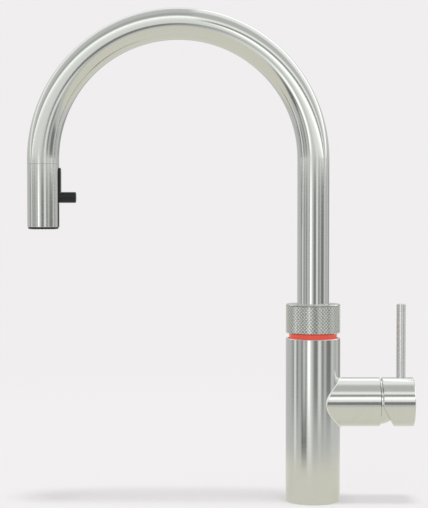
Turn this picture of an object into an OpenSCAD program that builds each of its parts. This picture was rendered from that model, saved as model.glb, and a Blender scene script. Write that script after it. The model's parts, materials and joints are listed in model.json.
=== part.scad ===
// Pull-out kitchen mixer tap with a push-and-turn boiling-water ring.
// The worktop's top face is z = 0 and the column stands on the Z axis.
// +X is the mixer lever's side, -Y the user's side, and the spout is swung to -X.
// Everything below z = 0 is hidden under the worktop.

/* [Column] */
// Outside diameter of the column
column_d = 45; // [44:0.5:52]
// Height of the column's top edge above the worktop
column_h = 135.4; // [130:0.2:160]
// Wall of the column
column_wall = 2; // [1.5:0.25:2.5]

/* [Side branch] */
// Outside diameter of the branch and of the lever hub
branch_d = 40.4; // [40:0.2:42]
// Height of the branch's axis above the worktop
branch_z = 82.2; // [70:0.2:86]
// Distance from the column's axis to the branch's end face
branch_end = 55.2; // [54.4:0.2:62]
// Wall of the branch
branch_wall = 2; // [1.5:0.25:2.25]

/* [Boiling ring] */
// Height of the knurled ring
ring_h = 24.2; // [22:0.2:32]
// Wall of the knurled ring
ring_wall = 2.5; // [2.25:0.25:3]
// Height of the light band between column and ring
light_h = 3.8; // [2.6:0.2:5]
// Travel of the ring when it is pushed down
push_travel = 1.8; // [1:0.1:2]
// Number of knurl diamonds round the ring
knurl_count = 60; // [48:2:80]
// Depth of the knurl
knurl_depth = 0.6; // [0.3:0.1:0.9]

/* [Spout] */
// Outside diameter of the spout tube
tube_d = 26.4; // [25.6:0.2:27]
// Wall of the spout tube
tube_wall = 1.5; // [1:0.1:1.7]
// Distance from the column's axis to the outlet's axis
reach = 223; // [180:1:260]
// Height of the top of the bow above the worktop
spout_top = 407.6; // [380:0.2:440]

/* [Spray head] */
// Length of the head's steel sleeve
head_l = 51.8; // [50:0.2:70]
// How far the spout tube falls straight below its bow before the head
head_drop = 3.9; // [3:0.1:12]
// Wall of the head's steel sleeve
head_wall = 1.3; // [1:0.1:1.5]
// Width of the slot in the back of the sleeve
slot_w = 9.6; // [9.4:0.2:10.2]
// Diameter of the selector's peg
peg_d = 9; // [7:0.2:9.2]
// Length of the selector's peg outside the sleeve
peg_l = 16.5; // [10:0.5:22]
// Height of the selector's pivot above the steel rim
peg_up = 24.3; // [22:0.1:25]
// How far the black outlet ring stands below the steel rim
lip_h = 1.7; // [1:0.1:3]

/* [Mixer lever] */
// Distance from the column's axis to the hub's end face
hub_end = 83; // [81:0.5:92]
// Diameter of the lever rod
rod_d = 7.6; // [6:0.2:8]
// Height of the lever rod's top above the worktop
rod_top = 163.4; // [130:0.2:190]
// Largest tilt of the lever, which sets the relief under the hub
lever_tilt = 25; // [20:1:25]

/* [Hoses] */
// Outside diameter of the pull-out hose
hose_d = 11; // [9:0.5:11.5]
// Wall of the pull-out hose
hose_wall = 1.6; // [1.2:0.2:2.4]
// Outside diameter of the boiling-water tube
boil_d = 4; // [3:0.2:4]

/* [Under the worktop] */
// Thread diameter of the shank
shank_d = 33; // [32.6:0.1:34]
// Wall of the shank
shank_wall = 2; // [1.5:0.1:2.2]
// Length of the shank below the worktop
shank_l = 60; // [50:1:90]
// Core diameter of the hose threads in the manifold
inlet_d = 7; // [6:0.1:7]
// Thickness of the worktop that the clamp is set for
worktop_h = 30; // [10:1:35]
// Diameter of the clamp's washers
clamp_d = 52; // [46:1:60]
// Width across the flats of the fixing nut
nut_af = 42; // [40:1:46]

/* [Hidden] */
$fn = 96;
fit = 0.1;                       // radial gap of pieces that are screwed or pushed together
run = 0.07;                      // radial gap of a bearing
clear = 0.35;                    // gap between pieces that pass each other
tiny = 0.01;

column_r = column_d / 2;
bore_r = column_r - column_wall;
branch_r = branch_d / 2;
branch_bore = branch_r - branch_wall;
edge = 0.5;                      // small chamfers on the column
branch_bevel = 1;

tube_r = tube_d / 2;
tube_in = tube_r - tube_wall;
arc_r = reach / 2;
arc_z = spout_top - arc_r - tube_r;
seam = 0.12;                     // joint line between head and spout
head_top = arc_z - head_drop;
outlet_z = head_top - head_l;
peg_z = outlet_z + peg_up;

light_top = column_h + light_h;
ring_top = light_top + ring_h;
ring_bore = column_r - ring_wall;
cap_h = 3;                       // thickness of the ring's top plate
ring_hole = tube_r + 1;
light_r = ring_bore - clear;
liner_z = light_top + push_travel + 0.6;
magnet_h = 1.5;

neck_bore = tube_r + 1.8;
neck_r = neck_bore + 2.4;
neck_top = ring_top - cap_h - push_travel - 0.6;
manifold_z = 6;
shoulder_z = column_h - 7.6;     // where the manifold steps in to its neck
collar_z = light_top + 0.4;      // collar on the neck that carries the ring's spring
collar_h = 1;
collar_r = neck_r + 1.1;
spring_h = 3.3;                  // height of the ring's spring

swivel_z = branch_z + branch_r + 1.6;
washer_h = 1.6;
spigot_z = swivel_z + washer_h + fit;
riser_z = neck_top - 8;
spigot_r = neck_bore - run;
seal_wire = 0.8;
seal_groove = 2.2;
boil_groove = 4;
seal_pitch = 5.5;
boil_port_z = spigot_z + seal_groove + 1.3 + seal_pitch;
seal_z = [boil_port_z - seal_pitch, boil_port_z + seal_pitch, riser_z - seal_pitch];
socket_l = 10;                   // how far the spigot reaches into the riser

hose_r = hose_d / 2;
hose_in = hose_r - hose_wall;
hose_bore = hose_r + 0.8;
hose_end_top = arc_z + 3.2;      // the hose runs straight below this height
tail_up = 2;                     // height of the plug's tip above the shank's end
tail_r = hose_r + 0.9;
tail_h = 6;
plug_r = 4.75;
plug_h = 14;
hose_low = -shank_l + tail_up + plug_h + tail_h;

boil_r = boil_d / 2;
boil_bore = boil_r - 0.5;
boil_off = tube_in - boil_r - 0.8;

shank_r = shank_d / 2;
shank_bore = shank_r - shank_wall;
thread_r = shank_r - 0.5;        // the thread's pitch radius, which its plain cylinder stands for
collar_low = 1.5 - worktop_h;    // the shank is plain above this height
boss_r = shank_r + 0.6;          // centres the gasket
gasket_h = 1;
inlet_r = inlet_d / 2;
inlet_l = 12;
inlet_off = shank_bore - inlet_r - 0.5;
inlet_angle = 50;                // cold and hot lie this far either side of the mixed outlet
rubber_h = 3;
plate_h = 2;
nut_h = 8;
channel_r = min(2.6, inlet_r - 0.5);

pivot_x = branch_end - 1.4;      // centre of the dome and axis of the lever's tilt
dome_r = branch_bore + 0.4;
dome_wall = 1.6;
dome_hole = 12.6;
hub_gap = 0.35;
hub_start = pivot_x + 3.2;
hub_foot = 2.1;
hub_slope = tan(lever_tilt + 4.25);
rod_inset = 10.2;
rod_x = hub_end - rod_inset;
rod_seat = 7.6;

seat_x = 15;                     // face in the manifold that the cartridge adapter meets
cart_r = branch_bore - 0.7;
base_h = 4;                      // thicknesses of what the cartridge is stacked from
fixed_h = 4.5;
disc_h = 4;
carrier_h = 4.1;
flange_h = 2.5;
flange_end = pivot_x - 7.4;
rotor_start = flange_end - flange_h;
carrier_end = rotor_start - 0.3;
disc_end = carrier_end - carrier_h;
fixed_end = disc_end - disc_h;
base_end = fixed_end - fixed_h;
adapter_end = base_end - base_h;
shoulder_x = pivot_x - 5.8;
nut_end = shoulder_x + 3.4;
neck_end = pivot_x + 4.2;
cart_neck = 14;
rotor_r = 10;
rotor_flange = 12.5;
disc_r = 10.8;
disc_room = cart_r - 0.9;
ball_x = carrier_end - 1.3;
ball_r = 2.4;
stem_w = 8;
stem_slot = 15.2;                // room for the stem's tilt in the rotor
pin_r = 1.5;
port_r = 2.2;
port_high = 7;
port_low = 4.5;
port_y = inlet_off * sin(inlet_angle);

head_r = tube_r;
head_bore = head_r - head_wall;
core_r = head_bore - 0.05;
flat_u = sqrt(head_r ^ 2 - (slot_w / 2) ^ 2);
slot_top = head_top - 2.1;
tab_gap = 0.5;
tab_w = slot_w - 2 * tab_gap;
tab_proud = 1.8;
tab_rise = 0.9;                  // room above the tab for its tilt
tab_low = 11.2;
pocket_u = 7.4;
pivot_u = 8.5;
barrel_r = 3.5;
peg_r = peg_d / 2;
select_pin = 1;
insert_h = 9;
insert_top = outlet_z + insert_h;
lip_r = head_r - 0.7;
spray_bore = 8;
nozzle_ring = 9.6;               // radius of the circle of spray nozzles
spool_r = 3.2;
spool_reach = 13;
spool_low = peg_z - spool_reach;
spool_top = peg_z + 4.2;
spool_wire = 0.44;
spool_seal_z = [spool_low + 2, spool_low + 6];
finger_tip = 1.9;
finger_w = 2.4;
finger_h = 1.4;
finger_gap = 0.5;                // above and below the finger in the spool's groove
nipple_low = peg_z + 6;
hose_end_low = nipple_low + 4.5;
ferrule_l = 10;

steel = "silver";
polymer = [0.13, 0.13, 0.13];
rubber = [0.08, 0.08, 0.08];
brass = "goldenrod";
ceramic = "whitesmoke";
acetal = "gainsboro";

// A disc or bar of radius r from z0 to z1
module rod(r, z0, z1) {
    translate([0, 0, z0]) cylinder(r = r, h = z1 - z0);
}

// A tube of radii r and bore from z0 to z1
module sleeve(r, bore, z0, z1) {
    difference() {
        rod(r, z0, z1);
        rod(bore, z0 - 1, z1 + 1);
    }
}

// Lays a shape drawn along Z along the branch, where z is then the distance from the column's axis
module along_branch() {
    translate([0, 0, branch_z]) rotate([0, 90, 0]) children();
}

// Moves a shape drawn about Z to the outlet's axis
module at_outlet() {
    translate([-reach, 0, 0]) children();
}

// Tube of radii r and bore bent along the spout's bow, off from its centre line by off
module bow(r, bore, off = 0, a0 = 0, a1 = 180) {
    translate([-arc_r, 0, arc_z]) rotate([90, 0, 0]) rotate([0, 0, a0])
        rotate_extrude(angle = a1 - a0) translate([arc_r + off, 0]) difference() {
            circle(r = r);
            circle(r = bore);
        }
}

// Rubber ring of a round wire
module o_ring(r, wire, z) {
    translate([0, 0, z]) rotate_extrude() translate([r, 0]) circle(r = wire, $fn = 24);
}

// Centres of the four hose threads, seen from above
function inlet_at(a) = [inlet_off * cos(a), inlet_off * sin(a), 0];
inlet_angles = [0, -inlet_angle, inlet_angle, 180];

// Column tube, open where the branch is welded on
module column_shell() {
    color(steel) difference() {
        rotate_extrude() polygon([
            [bore_r, 0], [column_r - edge, 0], [column_r, edge],
            [column_r, column_h - edge], [column_r - edge, column_h], [bore_r, column_h]
        ]);
        along_branch() rod(branch_bore, 0, column_r + 1);
    }
}

// Side branch, cut to a saddle that is welded to the column
module branch_shell() {
    color(steel) difference() {
        along_branch() rotate_extrude() polygon([
            [branch_bore, 0], [branch_r, 0], [branch_r, branch_end - branch_bevel],
            [branch_r - branch_bevel, branch_end], [branch_bore, branch_end]
        ]);
        rod(column_r, branch_z - branch_r - 1, branch_z + branch_r + 1);
    }
}

// Threaded shank that hangs through the worktop
module threaded_shank() {
    color(brass) rotate_extrude() polygon([
        [shank_bore, -shank_l], [thread_r - 0.8, -shank_l], [thread_r, 0.8 - shank_l],
        [thread_r, collar_low], [shank_r, collar_low], [shank_r, 0], [boss_r, 0],
        [boss_r, gasket_h], [bore_r - fit, gasket_h], [bore_r - fit, manifold_z],
        [shank_bore, manifold_z]
    ]);
}

// Flat ring that seals the foot to the worktop
module base_gasket() {
    color(rubber) sleeve(bore_r - fit, boss_r + fit, 0, gasket_h);
}

// Brass core with the waterways, the cartridge's seat and the neck that the spout turns in
module manifold() {
    color(brass) difference() {
        union() {
            rod(bore_r - fit, manifold_z, shoulder_z);
            rod(neck_r, shoulder_z - 1, neck_top);
            rod(collar_r, collar_z, collar_z + collar_h);
        }
        rod(hose_bore, manifold_z - 1, swivel_z + 1);
        rod(neck_bore, swivel_z, neck_top + 1);
        along_branch() rod(cart_r + 0.2, seat_x, column_r);
        for (a = inlet_angles)
            translate(inlet_at(a)) rod(inlet_r, manifold_z - 1, manifold_z + inlet_l);
        // mixed water comes back from the upper port
        translate(inlet_at(0)) rod(channel_r, manifold_z, branch_z + port_high);
        translate([inlet_off, 0, branch_z + port_high]) rotate([0, 90, 0])
            rod(port_r, 0, seat_x);
        // cold and hot go to the two lower ports
        for (side = [-1, 1]) {
            translate(inlet_at(side * inlet_angle))
                rod(channel_r, manifold_z, branch_z - port_low);
            translate([inlet_off * cos(inlet_angle), side * port_y, branch_z - port_low])
                rotate([0, 90, 0]) rod(port_r, 0, seat_x);
        }
        // boiling water steps out beside the swivel and enters it from the side
        translate(inlet_at(180)) rod(1.6, manifold_z, branch_z);
        translate([-inlet_off, 0, branch_z]) rotate([0, -90, 0])
            rod(1.6, 0, neck_bore + 2.6 - inlet_off);
        translate([-neck_bore - 2.6, 0, 0]) rod(1.6, branch_z - 1.6, boil_port_z);
        translate([-neck_bore - 2.6, 0, boil_port_z]) rotate([0, 90, 0]) rod(1.6, 0, 4);
    }
}

// The three ports of the mixing cartridge, as bars from x0 to x1
module ports(r, x0, x1) {
    translate([x0, 0, branch_z + port_high]) rotate([0, 90, 0]) cylinder(r = r, h = x1 - x0);
    for (side = [-1, 1])
        translate([x0, side * port_y, branch_z - port_low]) rotate([0, 90, 0])
            cylinder(r = r, h = x1 - x0);
}

module cartridge_adapter() {
    color(brass) difference() {
        along_branch() rod(cart_r, seat_x, adapter_end);
        ports(port_r, seat_x - 1, adapter_end + 1);
        ports(port_r + 1.3, seat_x - 1, seat_x + 1.4);
    }
}

module port_seals() {
    color(rubber) difference() {
        ports(port_r + 1.25, seat_x, seat_x + 1.4);
        ports(port_r, seat_x - 1, seat_x + 2);
    }
}

module cartridge_base() {
    color(polymer) difference() {
        along_branch() rod(cart_r, adapter_end, base_end);
        ports(port_r, adapter_end - 1, base_end + 1);
    }
}

module fixed_disc() {
    color(ceramic) difference() {
        along_branch() rod(disc_room - fit, base_end, fixed_end);
        ports(port_r, base_end - 1, fixed_end + 1);
    }
}

module cartridge_housing() {
    color(acetal) difference() {
        along_branch() union() {
            rod(cart_r, base_end, shoulder_x);
            rod(cart_neck, shoulder_x - 1, neck_end);
        }
        along_branch() rod(disc_room, base_end - 1, rotor_start - 0.1);
        along_branch() rod(rotor_flange + clear, rotor_start - 1, flange_end + 0.2);
        along_branch() rod(rotor_r + run, flange_end, neck_end + 1);
    }
}

// Ring nut that clamps the cartridge, with slots for a key
module cartridge_nut() {
    color(brass) difference() {
        along_branch() rod(branch_bore - fit, shoulder_x, nut_end);
        along_branch() rod(cart_neck + 0.2, shoulder_x - 1, nut_end + 1);
        along_branch() for (a = [0 : 60 : 300])
            rotate([0, 0, a]) translate([branch_bore - 2.2, -1.5, nut_end - 1.6])
                cube([4, 3, 4]);
    }
}

// Steel dome that the lever's hub rides over, with a skirt inside the branch
module dome_cover() {
    color(steel) difference() {
        union() {
            along_branch() rod(branch_bore - fit, nut_end + 0.2, branch_end + tiny);
            intersection() {
                along_branch() translate([0, 0, pivot_x]) sphere(r = dome_r);
                along_branch() rod(dome_r + 1, branch_end, pivot_x + dome_r + 1);
            }
        }
        along_branch() translate([0, 0, pivot_x]) sphere(r = dome_r - dome_wall);
        along_branch() rod(dome_r - dome_wall - 0.2, nut_end, pivot_x);
        along_branch() rod(dome_hole, pivot_x, pivot_x + dome_r + 1);
    }
}

// Translucent ring that glows between the column and the knurled ring
module light_ring() {
    color([0.9, 0.2, 0.15]) difference() {
        union() {
            rod(bore_r - fit, column_h - 4.8, column_h - 2.6);
            rod(light_r, column_h - 4.8, light_top + 0.2);
        }
        rod(collar_r + 0.2, column_h - 6, light_top + 1);
    }
}

// Ring board with its light sources, on the manifold's shoulder
module led_board() {
    color("darkgreen") union() {
        sleeve(bore_r - fit, collar_r + 0.2, shoulder_z, shoulder_z + 1.2);
        for (a = [15 : 30 : 345])
            rotate([0, 0, a]) translate([collar_r + 0.4, -0.8, shoulder_z + 1.2 - tiny])
                cube([1.2, 1.6, 0.8]);
    }
}

module spout_retainer() {
    color(brass) sleeve(neck_bore - fit, tube_r + clear, riser_z + washer_h + 0.3, neck_top);
}

module thrust_washer() {
    color(acetal) sleeve(neck_bore - fit, hose_bore, swivel_z, swivel_z + washer_h);
}

// Wave spring that lifts the boiling ring: one band that winds up in three turns
spring_turns = 3;
spring_waves = 3.5;
spring_steps = 36;
module ring_spring() {
    low = collar_z + collar_h;
    high = low + spring_h;
    band = 0.35;
    wave = 0.22;
    pitch = (high - low - band - 2 * wave) / spring_turns;
    r_in = neck_r + 0.2;
    r_out = neck_r + 1;
    count = spring_turns * spring_steps;
    function middle(i) = low + wave + pitch * i / spring_steps
        + wave * sin(360 * spring_waves * i / spring_steps);
    function corner(i) = let (a = 360 * i / spring_steps, z = middle(i)) [
        [r_in * cos(a), r_in * sin(a), z], [r_out * cos(a), r_out * sin(a), z],
        [r_out * cos(a), r_out * sin(a), z + band], [r_in * cos(a), r_in * sin(a), z + band]
    ];
    points = [for (i = [0 : count]) each corner(i)];
    faces = concat(
        [for (i = [0 : count - 1], k = [0 : 3]) let (a = 4 * i, b = (k + 1) % 4)
            [a + k, a + 4 + k, a + 4 + b]],
        [for (i = [0 : count - 1], k = [0 : 3]) let (a = 4 * i, b = (k + 1) % 4)
            [a + k, a + 4 + b, a + b]],
        [[0, 1, 2], [0, 2, 3]],
        [[4 * count, 4 * count + 2, 4 * count + 1], [4 * count, 4 * count + 3, 4 * count + 2]]
    );
    color("lightgray") polyhedron(points, faces);
}

// Part of the cartridge that turns with the lever, slotted so that the stem can tilt in it
module cartridge_rotor() {
    color(acetal) difference() {
        along_branch() union() {
            rod(rotor_flange, rotor_start, flange_end);
            rod(rotor_r, rotor_start, neck_end);
        }
        translate([rotor_start - 1, -stem_w / 2 - 0.2, branch_z - stem_slot / 2])
            cube([neck_end - rotor_start + 2, stem_w + 0.4, stem_slot]);
        translate([pivot_x, 0, branch_z]) rotate([90, 0, 0])
            cylinder(r = pin_r, h = 2 * rotor_r + 2, center = true);
    }
}

module stem_pin() {
    color("gray") translate([pivot_x, 0, branch_z]) rotate([90, 0, 0])
        cylinder(r = pin_r, h = 2 * rotor_r - 1, center = true);
}

module moving_disc() {
    color(ceramic) along_branch() difference() {
        rod(disc_r, fixed_end + 0.05, disc_end);
        // the mixing chamber in the disc's face
        rod(5, fixed_end - 1, fixed_end + 1.6);
    }
}

module disc_carrier() {
    color(polymer) difference() {
        along_branch() rod(disc_r, disc_end, carrier_end);
        along_branch() rod(ball_r + 0.4, disc_end + 0.2, carrier_end + 1);
    }
}

// Square stem with the ball that slides the disc
module cartridge_stem() {
    color(brass) difference() {
        union() {
            translate([pivot_x - 4, -stem_w / 2, branch_z - stem_w / 2])
                cube([hub_end - 1.5 - pivot_x + 4, stem_w, stem_w]);
            along_branch() rod(1.7, ball_x, pivot_x - 3);
            translate([ball_x, 0, branch_z]) sphere(r = ball_r);
        }
        translate([pivot_x, 0, branch_z]) rotate([90, 0, 0])
            cylinder(r = pin_r + run, h = stem_w + 2, center = true);
    }
}

// Cap that the hand turns: hollow over the dome, and cut away below so that it can tilt
module lever_hub() {
    color(steel) difference() {
        translate([0, 0, branch_z]) rotate([0, 90, 0]) rotate_extrude() polygon([
            [0, hub_start], [branch_r - 0.4, hub_start], [branch_r, hub_start + 0.4],
            [branch_r, hub_end - 1], [branch_r - 1, hub_end], [0, hub_end]
        ]);
        translate([pivot_x, 0, branch_z]) sphere(r = dome_r + hub_gap);
        translate([pivot_x, 0, branch_z]) rotate([90, 0, 0])
            linear_extrude(height = 2 * branch_d, center = true) polygon([
                [hub_foot, 0], [hub_foot + hub_slope * branch_d, -branch_d],
                [-branch_d, -branch_d], [-branch_d, 0]
            ]);
        translate([pivot_x, -stem_w / 2 - fit, branch_z - stem_w / 2 - fit])
            cube([hub_end - 1.4 - pivot_x, stem_w + 2 * fit, stem_w + 2 * fit]);
        translate([rod_x, 0, 0])
            rod(rod_d / 2 + 0.05, branch_z + branch_r - rod_seat, branch_z + branch_r + 1);
        translate([hub_end - 5, 0, 0]) rod(2, branch_z - branch_r - 1, branch_z);
    }
}

module lever_rod() {
    color(steel) translate([rod_x, 0, 0]) {
        rod(rod_d / 2, branch_z + branch_r - rod_seat, rod_top - 0.3);
        translate([0, 0, rod_top - 0.3])
            cylinder(r1 = rod_d / 2, r2 = rod_d / 2 - 0.3, h = 0.3);
    }
}

// Set screw under the hub, with its hexagon socket
module grub_screw() {
    color("dimgray") translate([hub_end - 5, 0, 0]) difference() {
        rod(1.95, branch_z - stem_w / 2 - 8, branch_z - stem_w / 2);
        translate([0, 0, branch_z - stem_w / 2 - 9]) cylinder(r = 1.15, h = 4, $fn = 6);
    }
}

// Sleeve that slides down the neck when the ring is pushed
module push_sleeve() {
    color(acetal) sleeve(collar_r, neck_r + run, collar_z + collar_h + spring_h + 0.1,
        ring_top - cap_h - 0.1);
}

// Knurled steel ring: a grid round the ring whose corners are knurl peaks and grooves by turns
module boil_ring() {
    columns = 2 * knurl_count;
    step = PI * column_d / columns;
    band_low = light_top + 0.9;
    band_high = ring_top - 0.7;
    rows = 2 * round((band_high - band_low) / step / 2);
    peak = column_r;
    groove = column_r - knurl_depth;
    // rings of points [radius, height], from the bore's foot round the outside to the bore's top
    foot = [[ring_bore, light_top], [groove - 0.7, light_top]];
    head = [[groove - 0.1, ring_top], [ring_bore + 0.2, ring_top], [ring_bore, ring_top - 0.2]];
    rings = len(foot) + rows + 1 + len(head);
    function radius(k, c) = k < len(foot) ? foot[k][0]
        : k <= len(foot) + rows ? ((k - len(foot) + c) % 2 == 0 ? groove : peak)
        : head[k - len(foot) - rows - 1][0];
    function height(k) = k < len(foot) ? foot[k][1]
        : k <= len(foot) + rows ? band_low + (k - len(foot)) * (band_high - band_low) / rows
        : head[k - len(foot) - rows - 1][1];
    points = [for (k = [0 : rings - 1], c = [0 : columns - 1])
        let (a = 360 * c / columns, r = radius(k, c)) [r * cos(a), r * sin(a), height(k)]];
    function corner(k, c) = (k % rings) * columns + (c % columns);
    // each square is split along the line between its two grooves
    faces = [for (k = [0 : rings - 1], c = [0 : columns - 1])
        let (p = corner(k, c), q = corner(k, c + 1), r = corner(k + 1, c + 1), s = corner(k + 1, c))
        each (k - len(foot) + c) % 2 == 0 ? [[p, r, q], [p, s, r]] : [[p, s, q], [q, s, r]]];
    color(steel) polyhedron(points, faces);
}

// Plate that closes the top of the knurled ring, with the hole for the spout
module ring_cap() {
    color(steel) rotate_extrude() polygon([
        [ring_hole, ring_top - cap_h], [ring_bore - fit, ring_top - cap_h],
        [ring_bore - fit, ring_top - 0.2], [ring_bore - fit - 0.2, ring_top],
        [ring_hole + 0.5, ring_top], [ring_hole, ring_top - 0.5]
    ]);
}

// Liner of the knurled ring, which turns on the sleeve
module ring_carrier() {
    color(polymer) sleeve(ring_bore - 0.1, collar_r + run, liner_z + magnet_h, ring_top - cap_h);
}

// Ring magnet at the liner's foot that the board senses
module magnet_ring() {
    color("gray") sleeve(ring_bore - 0.1, collar_r + 0.3, liner_z, liner_z + magnet_h);
}

// Bent tube: the riser, the bow and a short fall to the spray head
module spout_tube() {
    color(steel) union() {
        sleeve(tube_r, tube_in, riser_z, arc_z);
        bow(tube_r, tube_in);
        at_outlet() sleeve(tube_r, tube_in, head_top + seam, arc_z);
    }
}

// Spigot brazed into the riser's foot, grooved for its seals and for the boiling water
module spout_spigot() {
    color(brass) difference() {
        union() {
            rod(spigot_r, spigot_z, riser_z);
            rod(tube_in - 0.05, riser_z - 1, riser_z + socket_l);
        }
        rod(hose_bore, spigot_z - 1, riser_z + socket_l + 1);
        for (z = seal_z)
            sleeve(spigot_r + 1, neck_bore - 2 * seal_wire - fit, z - seal_groove / 2, z + seal_groove / 2);
        sleeve(spigot_r + 1, neck_bore - 2.2, boil_port_z - boil_groove / 2, boil_port_z + boil_groove / 2);
        translate([boil_off, 0, 0]) rod(boil_r + 0.05, boil_port_z + 3, riser_z + socket_l + 1);
        translate([boil_off, 0, 0]) rod(boil_bore, boil_port_z, boil_port_z + 4);
        translate([boil_off, 0, boil_port_z]) rotate([0, 90, 0])
            rod(boil_bore, 0, neck_bore - boil_off);
    }
}

module spigot_seals() {
    color(rubber) for (z = seal_z) o_ring(neck_bore - seal_wire - 0.05, seal_wire, z);
}

module glide_washer() {
    color(acetal) sleeve(spigot_r, tube_r + 0.05, riser_z, riser_z + washer_h);
}

// Socket in the spout's end that centres the hose and the boiling tube
module docking_bush() {
    color(polymer) difference() {
        at_outlet() rod(tube_in - fit, head_top + seam, arc_z + 3);
        at_outlet() rod(hose_r + 0.7, head_top, arc_z + 4);
        at_outlet() translate([-boil_off, 0, 0]) rod(boil_r + 0.15, head_top, arc_z + 4);
    }
}

// Thin tube for boiling water, on the outside of the bow
module boiling_tube() {
    color(steel) union() {
        translate([boil_off, 0, 0]) sleeve(boil_r, boil_bore, boil_port_z + 3, arc_z);
        bow(boil_r, boil_bore, boil_off);
        at_outlet() translate([-boil_off, 0, 0]) sleeve(boil_r, boil_bore, head_top - 2.6, arc_z);
    }
}

// Pull-out hose along the shank, the riser and the bow
module hose() {
    last = 180 - asin((hose_end_top + 0.3 - arc_z) / arc_r);
    color("dimgray") union() {
        sleeve(hose_r, hose_in, hose_low, arc_z);
        bow(hose_r, hose_in, 0, 0, last);
    }
}

// Last straight stretch of the hose, which follows the head when it is pulled
module hose_end() {
    color("dimgray") at_outlet() sleeve(hose_r, hose_in, hose_end_low, hose_end_top);
}

// Plug at the hose's lower end
module hose_tail() {
    color(brass) difference() {
        union() {
            rod(tail_r, hose_low - tail_h, hose_low);
            rod(plug_r, hose_low - tail_h - plug_h, hose_low - tail_h + tiny);
        }
        rod(hose_in - 0.6, hose_low - tail_h - plug_h - 1, hose_low + 1);
    }
}

// Shape of the slot in the back of the sleeve, w wide, from z0 up to z1
module slot(w, u0, u1, z0, z1) {
    at_outlet() {
        translate([u0, -w / 2, z0]) cube([u1 - u0, w, z1 - w / 2 - z0]);
        translate([u0, 0, z1 - w / 2]) rotate([0, 90, 0]) cylinder(r = w / 2, h = u1 - u0);
    }
}

// Steel sleeve of the pull-out head
module head_shell() {
    color(steel) difference() {
        at_outlet() sleeve(head_r, head_bore, outlet_z, head_top);
        slot(slot_w, 0, head_r + 1, outlet_z - 1, slot_top);
    }
}

// Black inner body of the head: hose socket, waterways, selector's pocket and the spine in the slot
module head_core() {
    color(polymer) difference() {
        union() {
            at_outlet() rod(core_r, insert_top, head_top - 0.4);
            intersection() {
                slot(slot_w - 0.1, 6, head_r + 1, outlet_z, slot_top - 0.05);
                at_outlet() rod(head_r, outlet_z, slot_top);
                at_outlet() union() {
                    rod(head_r, insert_top, slot_top);
                    translate([core_r - 1, -slot_w, outlet_z]) cube([4, 2 * slot_w, insert_h + 1]);
                }
            }
        }
        slot(slot_w, pocket_u, head_r + 1, peg_z - peg_r - 0.4, slot_top);
        at_outlet() {
            rod(hose_r + 0.7, nipple_low - 1, head_top + 1);
            rod(spool_r + run, insert_top - 1, nipple_low);
            translate([-boil_off, 0, 0]) rod(boil_r + 0.35, insert_top - 1, head_top + 1);
            // room for the selector's barrel and finger
            translate([pivot_u, 0, peg_z]) rotate([90, 0, 0])
                cylinder(r = barrel_r + 0.3, h = slot_w, center = true);
            translate([0, -finger_w / 2 - 0.5, peg_z - finger_h / 2 - 1.6])
                cube([pivot_u, finger_w + 1, finger_h + 2.1]);
            translate([pivot_u, 0, peg_z]) rotate([90, 0, 0])
                cylinder(r = select_pin, h = 3 * head_r, center = true);
            // spray water goes down round the middle
            for (a = [90, 210, 270, 150]) rotate([0, 0, a])
                translate([8.6, 0, 0]) rod(0.9, insert_top - 1, insert_top + 3);
        }
    }
}

module hose_nipple() {
    color(brass) at_outlet() difference() {
        union() {
            rod(hose_r + 0.6, nipple_low, hose_end_low);
            rod(hose_in - 0.1, hose_end_low - 1, hose_end_low + ferrule_l - 1);
        }
        rod(hose_in - 1.1, nipple_low - 1, hose_end_low + ferrule_l);
    }
}

module hose_ferrule() {
    color(steel) at_outlet()
        sleeve(hose_r + 0.6, hose_r + 0.1, hose_end_low, hose_end_low + ferrule_l);
}

// Black spray ring in the mouth of the head, with a circle of nozzles
module outlet_insert() {
    color(rubber) difference() {
        at_outlet() union() {
            translate([0, 0, outlet_z - lip_h]) cylinder(r1 = lip_r - 0.5, r2 = lip_r, h = 0.5);
            rod(lip_r, outlet_z - lip_h + 0.5, outlet_z);
            rod(core_r, outlet_z - tiny, insert_top);
        }
        at_outlet() rod(spray_bore, outlet_z - lip_h - 1, insert_top + 1);
        at_outlet() translate([core_r - 1.1, -slot_w, outlet_z]) cube([4, 2 * slot_w, insert_top]);
        at_outlet() for (a = [0 : 18 : 342]) rotate([0, 0, a])
            translate([nozzle_ring, 0, 0]) rod(0.45, outlet_z - lip_h - 1, outlet_z + 3);
    }
}

// Aerator cartridge: a ring with a cross of ribs
module aerator() {
    color(acetal) at_outlet() {
        sleeve(spray_bore - 0.05, spray_bore - 1.1, outlet_z - lip_h + 0.6, insert_top - 2);
        intersection() {
            rod(spray_bore - 1, outlet_z + 0.4, outlet_z + 2);
            union() for (k = [-2 : 2]) {
                translate([-spray_bore, 2.6 * k - 0.3, outlet_z]) cube([2 * spray_bore, 0.6, 3]);
                translate([2.6 * k - 0.3, -spray_bore, outlet_z]) cube([0.6, 2 * spray_bore, 3]);
            }
        }
    }
}

// Perforated disc above the aerator's ribs
module aerator_screen() {
    color("lightgray") at_outlet() difference() {
        rod(spray_bore - 1.15, outlet_z + 2.1, outlet_z + 2.6);
        for (i = [-3 : 3], j = [-3 : 3])
            if (norm([i + j / 2, j * 0.866]) < 3.05)
                translate([1.7 * (i + j / 2), 1.7 * 0.866 * j, 0])
                    rod(0.5, outlet_z + 1, outlet_z + 4);
    }
}

module selector_pin() {
    color("gray") at_outlet() translate([pivot_u, 0, peg_z]) rotate([90, 0, 0])
        cylinder(r = select_pin, h = 2 * sqrt(core_r ^ 2 - (pivot_u + select_pin) ^ 2) - 0.4,
            center = true);
}

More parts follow.
